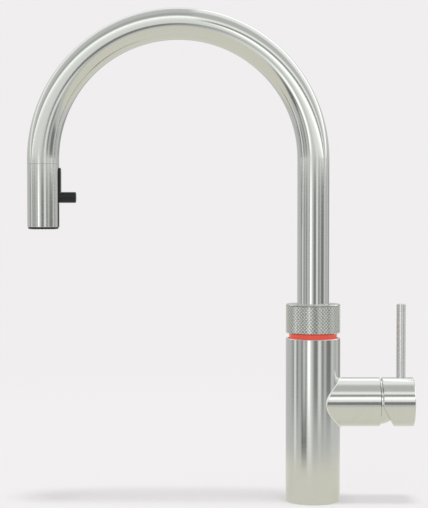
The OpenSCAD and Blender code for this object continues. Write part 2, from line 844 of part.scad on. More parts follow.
// Rocker that picks stream or spray: thumb tab, peg, barrel and the finger that moves the spool
module selector_lever() {
    color(polymer) difference() {
        union() {
            slot(tab_w, tab_low, head_r + tab_proud, peg_z, slot_top - tab_rise);
            at_outlet() {
                translate([pivot_u, 0, peg_z]) rotate([0, 90, 0])
                    cylinder(r = peg_r, h = flat_u - pivot_u + peg_l - 0.6);
                translate([flat_u + peg_l - 0.6, 0, peg_z]) rotate([0, 90, 0])
                    cylinder(r1 = peg_r, r2 = peg_r - 0.6, h = 0.6);
                translate([pivot_u, 0, peg_z]) rotate([90, 0, 0])
                    cylinder(r = barrel_r, h = tab_w, center = true);
                translate([finger_tip, -finger_w / 2, peg_z - finger_h / 2])
                    cube([pivot_u - finger_tip, finger_w, finger_h]);
            }
        }
        // the peg's inner end is cut back to the barrel
        at_outlet() difference() {
            translate([0, -tab_w, peg_z - peg_r - 1]) cube([pivot_u, 2 * tab_w, peg_d + 2]);
            translate([pivot_u, 0, peg_z]) rotate([90, 0, 0])
                cylinder(r = barrel_r, h = 3 * tab_w, center = true);
            translate([0, -finger_w / 2, peg_z - finger_h / 2]) cube([pivot_u, finger_w, finger_h]);
        }
        at_outlet() translate([pivot_u, 0, peg_z]) rotate([90, 0, 0])
            cylinder(r = select_pin + run, h = 3 * tab_w, center = true);
    }
}

// Spool that sends the water to the aerator or to the spray nozzles
module diverter_spool() {
    color(brass) at_outlet() difference() {
        rod(spool_r, spool_low, spool_top);
        sleeve(spool_r + 1, 1.4, peg_z - finger_h / 2 - finger_gap, peg_z + finger_h / 2 + finger_gap);
        for (z = spool_seal_z) sleeve(spool_r + 1, spool_r - 0.9, z - 0.6, z + 0.6);
    }
}

module spool_seals() {
    color(rubber) at_outlet() for (z = spool_seal_z) o_ring(spool_r - spool_wire, spool_wire, z);
}

module rubber_washer() {
    color(rubber) sleeve(clamp_d / 2, shank_r + 0.5, -worktop_h - rubber_h, -worktop_h);
}

module clamp_washer() {
    low = -worktop_h - rubber_h - plate_h;
    color(steel) sleeve(clamp_d / 2, shank_r + 0.5, low, low + plate_h);
}

// Hexagon nut that draws the tap down on the worktop
module fixing_nut() {
    low = -worktop_h - rubber_h - plate_h - nut_h;
    color(brass) difference() {
        translate([0, 0, low]) cylinder(d = nut_af / cos(30), h = nut_h, $fn = 6);
        rod(thread_r + run, low - 1, low + nut_h + 1);
    }
}

column_shell();
branch_shell();
threaded_shank();
base_gasket();
manifold();
cartridge_adapter();
port_seals();
cartridge_base();
fixed_disc();
cartridge_housing();
cartridge_nut();
dome_cover();
light_ring();
led_board();
spout_retainer();
thrust_washer();
ring_spring();
cartridge_rotor();
stem_pin();
moving_disc();
disc_carrier();
cartridge_stem();
lever_hub();
lever_rod();
grub_screw();
push_sleeve();
boil_ring();
ring_cap();
ring_carrier();
magnet_ring();
spout_tube();
spout_spigot();
spigot_seals();
glide_washer();
docking_bush();
boiling_tube();
hose();
hose_end();
hose_tail();
head_shell();
head_core();
hose_nipple();
hose_ferrule();
outlet_insert();
aerator();
aerator_screen();
selector_pin();
selector_lever();
diverter_spool();
spool_seals();
rubber_washer();
clamp_washer();
fixing_nut();
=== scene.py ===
# Pull-out kitchen mixer tap in satin steel, with a lever and a knurled, lit ring for boiling water
import json
from math import acos, asin, atan2, cos, degrees, hypot, pi, radians, sin, sqrt, tan

import bmesh
import bpy
from mathutils import Matrix, Vector


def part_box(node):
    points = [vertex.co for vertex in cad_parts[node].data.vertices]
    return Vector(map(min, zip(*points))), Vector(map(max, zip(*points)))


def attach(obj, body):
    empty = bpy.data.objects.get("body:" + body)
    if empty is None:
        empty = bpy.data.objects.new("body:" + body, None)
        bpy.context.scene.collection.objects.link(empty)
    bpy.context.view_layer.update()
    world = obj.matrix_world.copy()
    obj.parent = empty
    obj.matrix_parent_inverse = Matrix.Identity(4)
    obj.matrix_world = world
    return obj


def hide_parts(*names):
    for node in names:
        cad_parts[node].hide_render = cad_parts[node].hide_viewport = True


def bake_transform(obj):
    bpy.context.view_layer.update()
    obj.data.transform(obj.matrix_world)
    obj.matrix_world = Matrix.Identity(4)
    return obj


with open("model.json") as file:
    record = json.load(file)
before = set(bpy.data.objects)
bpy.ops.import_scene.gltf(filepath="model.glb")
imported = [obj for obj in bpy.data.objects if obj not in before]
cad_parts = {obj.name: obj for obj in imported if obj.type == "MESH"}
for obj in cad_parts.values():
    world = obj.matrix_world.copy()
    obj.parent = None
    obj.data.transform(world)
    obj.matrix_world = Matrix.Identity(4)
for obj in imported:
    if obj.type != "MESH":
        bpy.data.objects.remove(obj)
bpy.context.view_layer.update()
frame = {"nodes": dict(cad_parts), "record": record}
mm = 0.001   # pieces are drawn in millimetres and scaled once to the scene's metres
past = 1   # cutters run this far past what they cut, in millimetres
skin = 0.01   # a point this close to a surface lies on it, in millimetres
same = 0.0005   # points this close are one point, in millimetres
crease = 30   # edges sharper than this stay sharp, in degrees


# helpers for shapes

def corners(node):
    low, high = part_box(node)   # a CAD node's box, in millimetres
    return low / mm, high / mm


def turned(profile, steps=192):
    # closed outline of (radius, height) corners, spun round Z
    bm = bmesh.new()
    verts = [bm.verts.new((radius, 0, height)) for radius, height in profile]
    edges = [bm.edges.new(pair) for pair in zip(verts, verts[1:] + verts[:1])]
    bmesh.ops.spin(bm, geom=verts + edges, cent=(0, 0, 0), axis=(0, 0, 1), dvec=(0, 0, 0),
                   angle=2 * pi, steps=steps, use_merge=True)
    tidy(bm)
    return bm


def tidy(bm):
    bmesh.ops.remove_doubles(bm, verts=bm.verts, dist=same)
    bmesh.ops.recalc_face_normals(bm, faces=bm.faces)


def shifted(bm, grown, way):
    # moves what an extrusion has grown, and gives back its edges
    bmesh.ops.translate(bm, verts=[v for v in grown if isinstance(v, bmesh.types.BMVert)], vec=way)
    return [e for e in grown if isinstance(e, bmesh.types.BMEdge)]


def pushed(bm, rim, way):
    return shifted(bm, bmesh.ops.extrude_edge_only(bm, edges=rim)["geom"], way)


def arc(centre, radius, start, end, steps):
    # points on an arc in the outline's plane, angles in degrees from the radius towards the height
    turns = [radians(start + (end - start) * step / steps) for step in range(steps + 1)]
    return [(centre[0] + radius * cos(turn), centre[1] + radius * sin(turn)) for turn in turns]


def prism(outline, depth, axis):
    # flat outline pushed through by depth to both sides, along Y or X
    bm = bmesh.new()
    alongY = axis == "Y"
    points = [(a, -depth, b) if alongY else (-depth, a, b) for a, b in outline]
    face = bm.faces.new([bm.verts.new(point) for point in points])
    grown = bmesh.ops.extrude_face_region(bm, geom=[face])["geom"]
    shifted(bm, grown, (0, 2 * depth, 0) if alongY else (2 * depth, 0, 0))
    tidy(bm)
    return bm


def alongX(bm, height, start=0):
    # lays a shape spun round Z along X, at the given height
    bmesh.ops.rotate(bm, verts=bm.verts, cent=(0, 0, 0), matrix=Matrix.Rotation(pi / 2, 3, "Y"))
    bmesh.ops.translate(bm, verts=bm.verts, vec=(start, 0, height))
    return bm


def moved(bm, x=0, y=0, z=0):
    bmesh.ops.translate(bm, verts=bm.verts, vec=(x, y, z))
    return bm


def made(name, bm):
    bmesh.ops.scale(bm, verts=bm.verts, vec=(mm, mm, mm))
    mesh = bpy.data.meshes.new(name)
    bm.to_mesh(mesh)
    bm.free()
    piece = bpy.data.objects.new(name, mesh)
    bpy.context.collection.objects.link(piece)
    return piece


def baked(piece):
    # the piece's mesh with its modifiers applied
    graph = bpy.context.evaluated_depsgraph_get()
    mesh = bpy.data.meshes.new_from_object(piece.evaluated_get(graph))
    piece.modifiers.clear()
    return mesh


def carve(piece, bm, operation="DIFFERENCE"):
    # cuts bm out of the piece, or joins or intersects them
    cutter = made("cutter", bm)
    cut = piece.modifiers.new("cut", "BOOLEAN")
    cut.operation = operation
    cut.solver = "EXACT"
    cut.object = cutter
    piece.data = baked(piece)
    bpy.data.objects.remove(cutter)
    return piece


def softEdges(piece, width, segments=2):
    # rubs down every edge that the tool left sharp
    soften = piece.modifiers.new("soften", "BEVEL")
    soften.width = width * mm
    soften.segments = segments
    soften.limit_method = "ANGLE"
    soften.angle_limit = radians(crease)
    piece.data = baked(piece)
    return piece


def grain(piece, along):
    # how far each point lies along the way the piece was turned, in millimetres, for its hairlines
    marks = piece.data.attributes.new("grain", "FLOAT", "POINT")
    for mark, vert in zip(marks.data, piece.data.vertices):
        mark.value = along(vert.co / mm)
    return piece


def place(piece, body, slot, nodes=(), sharp=crease, finish=None):
    # shading, material and frame calls that every finished piece gets
    piece.data.materials.clear()
    piece.data.materials.append(finish or finishes[slot])
    piece.data.shade_smooth()
    piece.data.set_sharp_from_angle(angle=radians(sharp))
    weigh = piece.modifiers.new("weigh", "WEIGHTED_NORMAL")
    weigh.keep_sharp = True
    if body:
        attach(piece, body)
    if nodes:
        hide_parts(*nodes)
    return piece


# helpers for materials

def linear(code):
    # sRGB hex to the linear colour that the sockets take
    parts = [int(code[i:i + 2], 16) / 255 for i in (1, 3, 5)]
    return tuple(p / 12.92 if p <= 0.04045 else ((p + 0.055) / 1.055) ** 2.4 for p in parts) + (1,)


def addNode(tree, kind, settings=None, inputs=None):
    node = tree.nodes.new(kind)
    for name, value in (settings or {}).items():
        setattr(node, name, value)
    for name, value in (inputs or {}).items():
        if isinstance(value, bpy.types.NodeSocket):
            tree.links.new(value, node.inputs[name])
        else:
            node.inputs[name].default_value = value
    return node


def newMaterial(name, settings):
    # a surface with constant values on its own sockets
    material = bpy.data.materials.new(name)
    material.use_nodes = True
    tree = material.node_tree
    tree.nodes.clear()
    shader = addNode(tree, "ShaderNodeBsdfPrincipled", inputs=settings)
    addNode(tree, "ShaderNodeOutputMaterial", inputs={"Surface": shader.outputs[0]})
    return material, tree, shader


def tie(tree, shader, value, look):
    # a pattern drives what its look names: colour or glow between two hexes, roughness, height in millimetres
    for key, socket in (("colour", "Base Color"), ("glow", "Emission Color")):
        if key in look:
            dark, light = (linear(code) for code in look[key])
            mix = addNode(tree, "ShaderNodeMix", {"data_type": "RGBA"}, {"Factor": value, 6: dark, 7: light})
            tree.links.new(mix.outputs[2], shader.inputs[socket])
    if "rough" in look:
        low, high = look["rough"]
        # noise keeps mostly between 0.3 and 0.7
        gloss = addNode(tree, "ShaderNodeMapRange", inputs={"Value": value, "From Min": 0.3, "From Max": 0.7,
                                                            "To Min": low, "To Max": high})
        tree.links.new(gloss.outputs[0], shader.inputs["Roughness"])
    if "depth" in look:
        bump = addNode(tree, "ShaderNodeBump", inputs={"Height": value, "Distance": look["depth"] * mm,
                                                       "Strength": 1.0})
        tree.links.new(bump.outputs[0], shader.inputs["Normal"])


def mottled(name, settings, *looks):
    # constant values, and a noise for each look, with grains of so many millimetres
    material, tree, shader = newMaterial(name, settings)
    coord = addNode(tree, "ShaderNodeTexCoord").outputs["Object"]
    for look in looks:
        noise = addNode(tree, "ShaderNodeTexNoise", inputs={"Vector": coord, "Detail": look["detail"],
                                                            "Scale": 1 / (look["grain"] * mm)})
        tie(tree, shader, noise.outputs["Fac"], look)
    return material


# materials

def turnedSteel(name, rough, depth):
    # Stainless steel, turned and brushed round its axis: hairlines run round the tube and blur what it
    # reflects into clean streaks. Real lines are about 0.1 mm apart and are drawn at 0.5 mm to show.
    look = {"lineSpacing": 0.5, "lineLength": 12, "colour": ("#cdcfcb", "#d4d6d2"), "rough": rough,
            "depth": depth}
    material, tree, shader = newMaterial(name, {"Metallic": 1.0})
    coord = addNode(tree, "ShaderNodeTexCoord").outputs["Object"]
    length = addNode(tree, "ShaderNodeVectorMath", {"operation": "SCALE"},
                     {"Vector": coord, "Scale": 1 / (look["lineLength"] * mm)})
    mark = addNode(tree, "ShaderNodeAttribute", {"attribute_name": "grain"}).outputs["Fac"]
    line = addNode(tree, "ShaderNodeMath", {"operation": "DIVIDE"}, {0: mark, 1: look["lineSpacing"]})
    across = addNode(tree, "ShaderNodeCombineXYZ", inputs={"Z": line.outputs[0]})
    vector = addNode(tree, "ShaderNodeVectorMath", {"operation": "ADD"},
                     {0: length.outputs[0], 1: across.outputs[0]})
    lines = addNode(tree, "ShaderNodeTexNoise", inputs={"Vector": vector.outputs[0], "Scale": 1.0,
                                                        "Detail": 2.0})
    tie(tree, shader, lines.outputs["Fac"], look)
    return material, tree, shader


def turnedSatinSteel():
    return turnedSteel("turned_satin_stainless_steel", (0.1, 0.13), 0.0003)[0]


def groundSteel():
    # Thin bar ground without centres: too fine a grain to see, and softer reflections than the tube's
    return mottled("centreless_ground_stainless_steel", {"Metallic": 1.0, "Roughness": 0.27},
                   {"grain": 10, "detail": 1, "colour": ("#dcdddb", "#e3e4e2")})


def weldWithPaintedHighlight():
    # Weld bead dressed with a flap wheel, duller than the tubes that it joins; its base colour, far lighter
    # than the tubes' steel, is a painted highlight along the seam
    return mottled("dressed_weld_painted_highlight", {"Metallic": 1.0, "Roughness": 0.38},
                   {"grain": 3, "detail": 2, "colour": ("#ebebe8", "#f4f4f1")})


def knurledSteel():
    # Knurled steel: bright on the diamonds' flats, with painted shade in the grooves and the turned relief,
    # # where the base colour is darkened by the ring's groove mark
    material, tree, shader = turnedSteel("knurled_stainless_steel", (0.12, 0.18), 0.0006)
    unshaded = shader.inputs["Base Color"].links[0].from_socket
    # painted shade: the base colour darkens where the ring marks its grooves
    deep = addNode(tree, "ShaderNodeAttribute", {"attribute_name": "groove"}).outputs["Fac"]
    mix = addNode(tree, "ShaderNodeMix", {"data_type": "RGBA"},
                  {"Factor": deep, 6: unshaded, 7: linear("#939694")})
    tree.links.new(mix.outputs[2], shader.inputs["Base Color"])
    return material


def drawnSteel():
    # Stainless wire, tube and sheet as they leave the die: greyer, with faint long marks
    return mottled("drawn_stainless_steel", {"Metallic": 1.0},
                   {"grain": 1.2, "detail": 4, "colour": ("#a9a9a6", "#c3c3bf"), "rough": (0.24, 0.38)})


def machinedBrass():
    # Bare brass from the lathe: warm yellow, slightly dulled in patches
    return mottled("machined_brass", {"Metallic": 1.0},
                   {"grain": 6, "detail": 4, "colour": ("#b8944e", "#d8bc78"), "rough": (0.22, 0.36)},
                   {"grain": 0.3, "detail": 2, "depth": 0.004})


def mouldedAbs():
    # ABS moulded in a spark-eroded tool: deep charcoal with a fine satin grit of about 0.15 mm, drawn at
    # 0.4 mm
    return mottled("moulded_abs", {"IOR": 1.54, "Specular IOR Level": 0.25},
                   {"grain": 0.4, "detail": 2, "colour": ("#181a1b", "#1f2122"), "rough": (0.26, 0.34),
                    "depth": 0.004})


def turnedAcetal():
    # Natural acetal: milky white, waxy, a little see-through at its edges
    depth = (0.8 * mm, 0.8 * mm, 0.7 * mm)
    return mottled("turned_acetal", {"IOR": 1.48, "Roughness": 0.35, "Subsurface Weight": 0.15,
                                     "Subsurface Radius": depth, "Subsurface Scale": 1.0},
                   {"grain": 4, "detail": 2, "colour": ("#e4e3dc", "#efeee8")})


def mouldedEpdm():
    # EPDM rubber pressed in a mould: dull black with a dusty bloom
    return mottled("moulded_epdm_rubber", {"IOR": 1.5, "Specular IOR Level": 0.35},
                   {"grain": 2.5, "detail": 4, "colour": ("#1b1b1b", "#2a2a29"), "rough": (0.6, 0.8)})


def castSilicone():
    # Black silicone of the spray face: soft sheen, slightly uneven where it was cast
    return mottled("cast_silicone", {"IOR": 1.42, "Sheen Weight": 0.1},
                   {"grain": 1.5, "detail": 3, "colour": ("#131414", "#1a1b1b"), "rough": (0.42, 0.58),
                    "depth": 0.01})


def lappedAlumina():
    # Alumina discs lapped flat: chalk white with a glassy face
    return mottled("lapped_alumina", {"IOR": 1.76, "Roughness": 0.12},
                   {"grain": 0.8, "detail": 2, "colour": ("#ecebe4", "#f6f5f0")})


def litAcrylic():
    # Frosted red acrylic light guide, lit from the board below: an even orange-red glow
    return mottled("frosted_acrylic_light_guide", {"IOR": 1.49, "Roughness": 0.4, "Emission Strength": 0.72},
                   {"grain": 5, "detail": 1, "colour": ("#8f2c20", "#9a3226"),
                    "glow": ("#d94a3a", "#e25544")})


def maskedBoard():
    # Glass-epoxy board under green solder mask
    return mottled("solder_masked_board", {"IOR": 1.5, "Roughness": 0.3},
                   {"grain": 1.0, "detail": 2, "colour": ("#12492a", "#1a5c36")})


def sinteredFerrite():
    # Sintered ferrite: dark grey and faintly grainy
    return mottled("sintered_ferrite", {"Roughness": 0.55},
                   {"grain": 0.5, "detail": 3, "colour": ("#3c3c3e", "#525255"), "depth": 0.01})


yarn = 1.2   # width of the braid's yarns, in millimetres


def braidedNylon():
    # Nylon braid over the pull-out hose: grey yarns about 1.2 mm wide that cross at 45 degrees
    look = {"colour": ("#3d3e40", "#8a8c8f"), "rough": (0.7, 0.5), "depth": 0.12}
    material, tree, shader = newMaterial("braided_nylon_sheath", {"IOR": 1.53, "Sheen Weight": 0.3})
    mark = addNode(tree, "ShaderNodeUVMap", {"uv_map": "braid"}).outputs[0]
    parts = addNode(tree, "ShaderNodeSeparateXYZ", inputs={"Vector": mark})
    waves = []
    for operation in ("ADD", "SUBTRACT"):
        slant = addNode(tree, "ShaderNodeMath", {"operation": operation},
                        {0: parts.outputs["X"], 1: parts.outputs["Y"]})
        turn = addNode(tree, "ShaderNodeMath", {"operation": "MULTIPLY"}, {0: slant.outputs[0], 1: pi / yarn})
        wave = addNode(tree, "ShaderNodeMath", {"operation": "SINE"}, {0: turn.outputs[0]})
        waves.append(addNode(tree, "ShaderNodeMath", {"operation": "ABSOLUTE"}, {0: wave.outputs[0]}))
    weave = addNode(tree, "ShaderNodeMath", {"operation": "MAXIMUM"},
                    {0: waves[0].outputs[0], 1: waves[1].outputs[0]})
    tie(tree, shader, weave.outputs[0], look)
    return material


finishes = {
    "satin_steel": turnedSatinSteel(),
    "plain_steel": drawnSteel(),
    "brass": machinedBrass(),
    "black_plastic": mouldedAbs(),
    "acetal": turnedAcetal(),
    "black_rubber": mouldedEpdm(),
    "spray_silicone": castSilicone(),
    "ceramic": lappedAlumina(),
    "light_guide": litAcrylic(),
    "circuit_board": maskedBoard(),
    "magnet": sinteredFerrite(),
    "hose_sheath": braidedNylon(),
}
slotOf = {part["node"]: part["material_slot"] for part in frame["record"]["subparts"]}
for node, slot in slotOf.items():
    mesh = frame["nodes"][node].data
    mesh.materials.clear()
    mesh.materials.append(finishes[slot])
print("materials on", len(frame["nodes"]), "CAD nodes")


# column and side branch

columnHigh = corners("column_shell")[1]
branchLow, branchHigh = corners("branch_shell")
columnR = columnHigh.x
columnTop = columnHigh.z
branchR = branchHigh.y
branchEnd = branchHigh.x
branchZ = (branchLow.z + branchHigh.z) / 2
columnLook = {"wall": 2, "edge": 0.5, "branchBevel": 0.6, "steps": 256, "weld": 0.75, "weldPoints": 160}


def columnShell():
    look = columnLook
    edge, bevel, steps = look["edge"], look["branchBevel"], look["steps"]
    shell = made("column", turned([(0, 0), (columnR - edge, 0), (columnR, edge), (columnR, columnTop - edge),
                                   (columnR - edge, columnTop), (0, columnTop)], steps))
    branch = turned([(0, 0), (branchR, 0), (branchR, branchEnd - bevel), (branchR - bevel, branchEnd),
                     (0, branchEnd)], steps)
    carve(shell, alongX(branch, branchZ), "UNION")
    bore = columnR - look["wall"]
    carve(shell, turned([(0, -past), (bore, -past), (bore, columnTop + past), (0, columnTop + past)], steps))
    bore = branchR - look["wall"]
    hole = turned([(0, 0), (bore, 0), (bore, branchEnd + past), (0, branchEnd + past)], steps)
    carve(shell, alongX(hole, branchZ))
    grain(shell, lambda p: p.x if p.xy.length > columnR + skin else p.z)
    place(shell, "tap_body", "satin_steel", ["column_shell", "branch_shell"], sharp=20)


def weldSeam():
    # dressed weld along the saddle where branch meets column
    curve = bpy.data.curves.new("weld", "CURVE")
    curve.dimensions = "3D"
    curve.bevel_depth = columnLook["weld"] * mm
    curve.bevel_resolution = 4
    count = columnLook["weldPoints"]
    line = curve.splines.new("POLY")
    line.points.add(count - 1)
    line.use_cyclic_u = True
    for step, point in enumerate(line.points):
        turn = 2 * pi * step / count
        y = branchR * sin(turn)
        point.co = (sqrt(columnR ** 2 - y ** 2) * mm, y * mm, (branchZ + branchR * cos(turn)) * mm, 1)
    route = bpy.data.objects.new("weld", curve)
    bpy.context.collection.objects.link(route)
    seam = bpy.data.objects.new("weld_seam", bpy.data.meshes.new_from_object(route))
    bpy.data.objects.remove(route)
    bpy.context.collection.objects.link(seam)
    # the seam's lighter colour is a painted highlight along the saddle
    place(seam, "tap_body", "satin_steel", finish=weldWithPaintedHighlight())


columnShell()
weldSeam()
print("column and branch made")


# dome, lever hub and rod

hubLow, hubHigh = corners("lever_hub")
rodLow, rodHigh = corners("lever_rod")
hubLook = {"pivotIn": 1.4, "gap": 0.2, "rim": 0.3, "bevel": 0.5, "soft": 0.2, "steps": 256, "reliefFoot": 2.1,
           "reliefTurn": 29.25, "screwIn": 5, "screwHole": 2, "screwSteps": 48}
domeLook = {"radius": 18.6, "wall": 1.6, "hole": 12.6, "skirtGap": 0.1, "lap": 0.2, "arcSteps": 20,
            "ballSteps": 128}
rodLook = {"edge": 0.35, "edgeSteps": 4, "steps": 96}
pivotX = branchEnd - hubLook["pivotIn"]
rodX = (rodLow.x + rodHigh.x) / 2
rodR = (rodHigh.x - rodLow.x) / 2


def domeCover():
    look = domeLook
    outer, inner, steps = look["radius"], look["radius"] - look["wall"], look["arcSteps"]
    skirt = branchR - columnLook["wall"] - look["skirtGap"]
    low = corners("dome_cover")[0].x
    start = degrees(asin((branchEnd - pivotX) / outer))
    hole, holeIn = (degrees(acos(look["hole"] / radius)) for radius in (outer, inner))
    profile = [(inner - look["lap"], low), (skirt, low), (skirt, branchEnd)]
    profile += arc((0, pivotX), outer, start, hole, steps)
    profile += arc((0, pivotX), inner, holeIn, 0, steps)
    profile += [(inner - look["lap"], pivotX)]
    dome = made("dome", alongX(turned(profile), branchZ))
    grain(dome, lambda p: p.x)
    place(dome, "tap_body", "satin_steel", ["dome_cover"])


def leverHub():
    look = hubLook
    start, end, rim, bevel = hubLow.x, hubHigh.x, look["rim"], look["bevel"]
    profile = [(0, start), (branchR - rim, start), (branchR, start + rim), (branchR, end - bevel),
               (branchR - bevel, end), (0, end)]
    hub = made("hub", alongX(turned(profile, look["steps"]), branchZ))
    ball, steps = bmesh.new(), domeLook["ballSteps"]
    bmesh.ops.create_uvsphere(ball, u_segments=steps, v_segments=steps // 2,
                              radius=domeLook["radius"] + look["gap"])
    carve(hub, alongX(ball, branchZ, pivotX))
    deep = 2 * branchR
    foot = pivotX + look["reliefFoot"]
    relief = prism([(foot, branchZ), (foot + tan(radians(look["reliefTurn"])) * deep, branchZ - deep),
                    (pivotX - deep, branchZ - deep), (pivotX - deep, branchZ)], deep, "Y")
    carve(hub, relief)
    hole, under = look["screwHole"], -branchR - past
    cutter = turned([(0, under), (hole, under), (hole, 0), (0, 0)], look["screwSteps"])
    carve(hub, moved(cutter, end - look["screwIn"], 0, branchZ))
    softEdges(hub, look["soft"])
    grain(hub, lambda p: p.x)
    place(hub, "lever", "satin_steel", ["lever_hub"], sharp=35)


def leverRod():
    edge, steps = rodLook["edge"], rodLook["edgeSteps"]
    top, low = rodHigh.z, rodLow.z
    profile = [(0, low), (rodR, low)] + arc((rodR - edge, top - edge), edge, 0, 90, steps) + [(0, top)]
    rod = made("rod", moved(turned(profile, rodLook["steps"]), rodX))
    rod.visible_glossy = False   # mirrored in the hub's crest it reads as a longer rod
    place(rod, "lever", "satin_steel", ["lever_rod"], finish=groundSteel())


domeCover()
leverHub()
leverRod()
print("lever made")


# knurled ring and light ring

ringLow, ringHigh = corners("boil_ring")
capLow = corners("ring_cap")[0].z
ringLook = {"bore": 20, "hole": 14.2, "diamonds": 48, "cells": 10, "depth": 0.5, "groove": 2.2, "foot": 0.9,
            "footInset": 0.7, "head": 0.6, "headInset": 0.4, "holeEdge": 0.5, "reliefRows": 2, "relief": 0.3,
            "topLines": 3}
guideLook = {"wall": 18.7, "body": 19.65, "rise": 2.2}


def knurledRing():
    # two families of slanted V grooves cross round the ring and leave flat diamonds between them, under a
    # turned relief and a plain rim
    look = ringLook
    low, top, outer, cells = ringLow.z, ringHigh.z, columnR, look["cells"]
    columns = look["diamonds"] * cells
    bandLow, bandHigh = low + look["foot"], top - look["head"]
    rows = round((bandHigh - bandLow) / (2 * pi * outer / columns))
    stepZ = (bandHigh - bandLow) / rows
    deepest = outer - look["depth"]
    profile = [(look["bore"], low), (deepest - look["footInset"], low)]
    profile += [(outer, bandLow + row * stepZ) for row in range(rows + 1)]
    profile += [(outer - look["headInset"], top), (look["hole"] + look["holeEdge"], top),
                (look["hole"], top - look["holeEdge"]), (look["hole"], capLow), (look["bore"], capLow)]
    bm = turned(profile, columns)
    # each point's groove mark sets how much painted shade the knurled steel gets there
    groove = bm.verts.layers.float.new("groove")
    for vert in bm.verts:
        if vert.co.xy.length < outer - skin:
            continue
        row = round((vert.co.z - bandLow) / stepZ)
        column = round(atan2(vert.co.y, vert.co.x) / (2 * pi / columns))
        if row in (0, rows):
            continue   # plain rims above and below the band
        if row >= rows - look["reliefRows"]:
            # the relief rows are pushed in and get full painted shade
            vert[groove] = 1
            vert.co.xy *= 1 - look["relief"] / outer
            continue
        steps = [(column + way * row) % cells for way in (1, -1)]
        cuts = [max(0, 1 - min(step, cells - step) / look["groove"]) for step in steps]
        # painted shade, deepest where the two grooves cross
        vert[groove] = (max(cuts) + cuts[0] * cuts[1]) / 2
        vert.co.xy *= 1 - look["depth"] * max(cuts) / outer
    ring = made("knurled_ring", bm)
    grain(ring, lambda p: p.z + look["topLines"] * p.xy.length)
    place(ring, "boiling_ring", "satin_steel", ["boil_ring", "ring_cap"], 18, knurledSteel())


def lightRing():
    low, high = corners("light_ring")
    wall, body, step = guideLook["wall"], guideLook["body"], low.z + guideLook["rise"]
    guide = made("light_guide", turned([(wall, low.z), (high.x, low.z), (high.x, step), (body, step),
                                        (body, high.z), (wall, high.z)]))
    place(guide, "tap_body", "light_guide", ["light_ring"])


knurledRing()
lightRing()
print("rings made")


# spout and hoses

tubeLow, tubeHigh = corners("spout_tube")
headLow, headHigh = corners("head_shell")
tubeR = tubeHigh.x
reach = -(headLow.x + headHigh.x) / 2
bowR = reach / 2
bowZ = tubeHigh.z - tubeR - bowR
tubeLook = {"wall": 1.5, "steps": 128, "around": 128}


def bent(radius, low, end, steps, around, last=pi):
    # circle pushed up the riser, spun over the bow and down to its end
    bm = bmesh.new()
    bmesh.ops.create_circle(bm, segments=around, radius=radius)
    bmesh.ops.translate(bm, verts=bm.verts, vec=(0, 0, low))
    rim = pushed(bm, list(bm.edges), (0, 0, bowZ - low))
    spun = bmesh.ops.spin(bm, geom=rim, cent=(-bowR, 0, bowZ), axis=(0, -1, 0), dvec=(0, 0, 0), angle=last,
                          steps=steps)
    rim = [e for e in spun["geom_last"] if isinstance(e, bmesh.types.BMEdge)]
    if end is not None:
        pushed(bm, rim, (0, 0, end - bowZ))
    tidy(bm)
    return bm


def alongBow(p):
    # distance along the spout's middle line from the bow's start
    if p.z < bowZ and p.x > -bowR:
        return p.z - bowZ
    if p.z < bowZ:
        return pi * bowR + bowZ - p.z
    return bowR * Vector((p.x + bowR, p.z - bowZ)).angle(Vector((1, 0)))


def hollow(piece, wall):
    # gives the tube its wall, inwards
    thick = piece.modifiers.new("wall", "SOLIDIFY")
    thick.thickness = wall * mm
    thick.offset = -1
    piece.data = baked(piece)
    return piece


def spoutTube():
    look = tubeLook
    joint = corners("docking_bush")[0].z
    tube = made("spout", bent(tubeR, tubeLow.z, joint, look["steps"], look["around"]))
    hollow(tube, look["wall"])
    grain(tube, alongBow)
    place(tube, "spout", "satin_steel", ["spout_tube"], sharp=40)


spoutTube()
print("spout made")


# spray head

headR = headHigh.x + reach
headTop, headFoot = headHigh.z, headLow.z
headLook = {"wall": 1.3, "slotW": 9.6, "slotTop": 2.1, "slotPast": 5, "edge": 0.25, "rim": 0.1, "soft": 0.12,
            "steps": 256}


def slotOutline(width, low, high, steps=24):
    # stadium with a flat foot
    half = width / 2
    return [(-half, low), (half, low)] + arc((0, high - half), half, 0, 180, steps)


def headShell():
    look = headLook
    edge, rim, bore = look["edge"], look["rim"], headR - look["wall"]
    profile = [(bore, headFoot), (headR - edge, headFoot), (headR, headFoot + edge), (headR, headTop - rim),
               (headR - rim, headTop), (bore, headTop)]
    shell = made("head_sleeve", moved(turned(profile, look["steps"]), -reach))
    outline = slotOutline(look["slotW"], headFoot - look["slotPast"], headTop - look["slotTop"])
    carve(shell, moved(prism(outline, headR, "X"), headR - reach))
    softEdges(shell, look["soft"])
    grain(shell, lambda p: p.z)
    place(shell, "spray_head", "satin_steel", ["head_shell"], sharp=35)


selectorHigh = corners("selector_lever")[1]
selectorLook = {"tabW": 8.6, "tabIn": 11.2, "tabOut": 1.4, "soft": 0.5, "pegR": 4.5, "pegRise": 24.3,
                "pegShort": 1.7, "round": 0.9, "roundSteps": 5, "pegSteps": 96, "pivot": 8.5, "barrelR": 3.5,
                "barrelSteps": 64}


